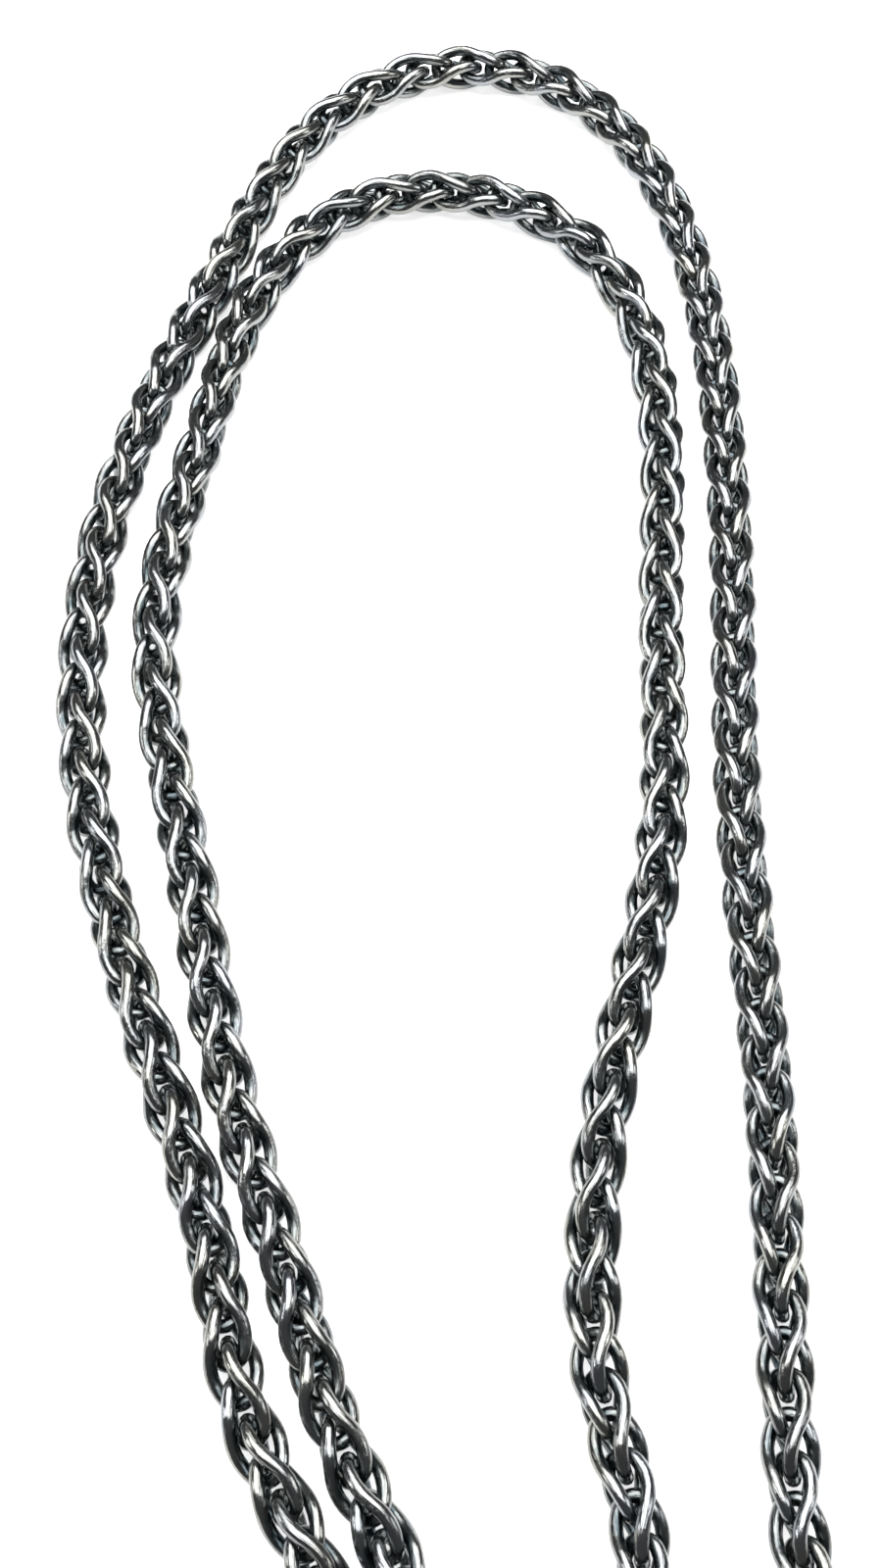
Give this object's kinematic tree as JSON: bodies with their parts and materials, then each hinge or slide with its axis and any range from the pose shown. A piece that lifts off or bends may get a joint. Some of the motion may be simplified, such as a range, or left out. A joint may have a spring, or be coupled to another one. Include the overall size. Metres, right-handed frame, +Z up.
{
  "type": "wheat chain necklace",
  "caption": "Necklace of wheat chain, twisted oval links woven in two families, laid flat as a double arch and closed by a plain oval ring.",
  "frame": {"origin": "middle of the laid necklace's outline, on the surface that it lies on", "axes": "+Y from the open end of the horseshoe to the top of its arches, +Z up from the surface"},
  "size_m": [0.0574, 0.1519, 0.004],
  "materials": {
    "silver": "antiqued silver: polished where it is touched, dark grey in the recesses"
  },
  "bodies": {
    "root": {"outer_chain": "silver", "inner_chain": "silver", "clasp": "silver"}
  },
  "joints": []
}
